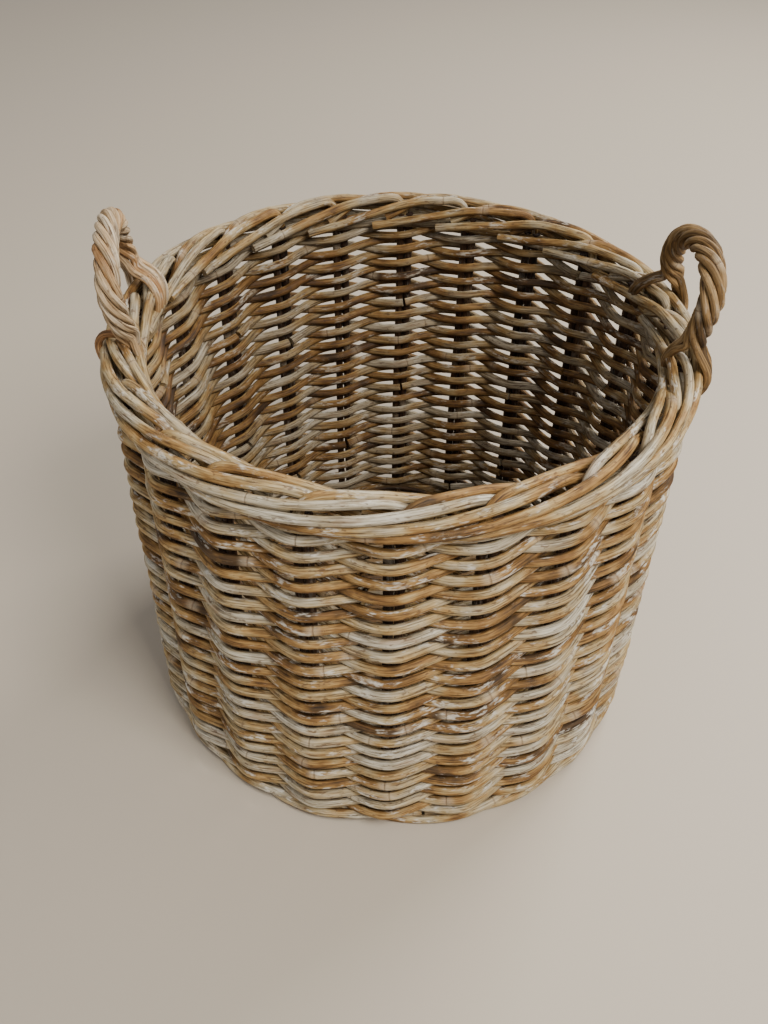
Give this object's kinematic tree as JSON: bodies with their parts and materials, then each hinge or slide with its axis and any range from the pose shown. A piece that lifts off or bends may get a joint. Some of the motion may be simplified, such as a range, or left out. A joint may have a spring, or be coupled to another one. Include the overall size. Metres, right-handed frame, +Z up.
{
  "type": "woven basket with two handles",
  "caption": "Round, straight-sided basket woven from rattan rods on upright stake pairs, with a braided rim, a woven floor and two twisted rope handles.",
  "frame": {"origin": "centre of the foot, on the floor", "axes": "+Z up; +X and -X point at the two handles; -Y is the side seen first"},
  "size_m": [0.5233, 0.4892, 0.48],
  "materials": {
    "stake_rod": "dark, unpeeled rattan rod",
    "siding_rod": "weathered rattan rod, whitewashed grey, beige and orange brown in patches",
    "border_rod": "weathered rattan rod with scuffed white skin",
    "foot_rod": "weathered rattan rod, dusty and a little darker",
    "base_rod": "plain brown rattan rod",
    "left_handle_rod": "bleached, beige, twisted thin rattan rods",
    "right_handle_rod": "orange brown, twisted thin rattan rods"
  },
  "bodies": {
    "root": {"base_spokes": "base_rod", "base_weave": "base_rod", "border_rod_inner_lower": "border_rod", "border_rod_inner_upper": "border_rod", "border_rod_outer_lower": "border_rod", "border_rod_outer_upper": "border_rod", "border_rod_top": "border_rod", "foot_wale": "foot_rod", "handle_left_bow": "left_handle_rod", "handle_left_lashing_back": "left_handle_rod", "handle_left_lashing_front": "left_handle_rod", "handle_left_wrap": "left_handle_rod", "handle_right_bow": "right_handle_rod", "handle_right_lashing_back": "right_handle_rod", "handle_right_lashing_front": "right_handle_rod", "handle_right_wrap": "right_handle_rod", "siding_course_01": "siding_rod", "siding_course_02": "siding_rod", "siding_course_03": "siding_rod", "siding_course_04": "siding_rod", "siding_course_05": "siding_rod", "siding_course_06": "siding_rod", "siding_course_07": "siding_rod", "siding_course_08": "siding_rod", "siding_course_09": "siding_rod", "siding_course_10": "siding_rod", "siding_course_11": "siding_rod", "siding_course_12": "siding_rod", "siding_course_13": "siding_rod", "siding_course_14": "siding_rod", "siding_course_15": "siding_rod", "siding_course_16": "siding_rod", "siding_course_17": "siding_rod", "siding_course_18": "siding_rod", "siding_course_19": "siding_rod", "siding_course_20": "siding_rod", "siding_course_21": "siding_rod", "siding_course_22": "siding_rod", "stake_pair_01": "stake_rod", "stake_pair_02": "stake_rod", "stake_pair_03": "stake_rod", "stake_pair_04": "stake_rod", "stake_pair_05": "stake_rod", "stake_pair_06": "stake_rod", "stake_pair_07": "stake_rod", "stake_pair_08": "stake_rod", "stake_pair_09": "stake_rod", "stake_pair_10": "stake_rod", "stake_pair_11": "stake_rod", "stake_pair_12": "stake_rod", "stake_pair_13": "stake_rod", "stake_pair_14": "stake_rod", "stake_pair_15": "stake_rod", "stake_pair_16": "stake_rod", "stake_pair_17": "stake_rod", "stake_pair_18": "stake_rod", "stake_pair_19": "stake_rod", "stake_pair_20": "stake_rod", "stake_pair_21": "stake_rod", "stake_pair_22": "stake_rod"}
  },
  "joints": []
}
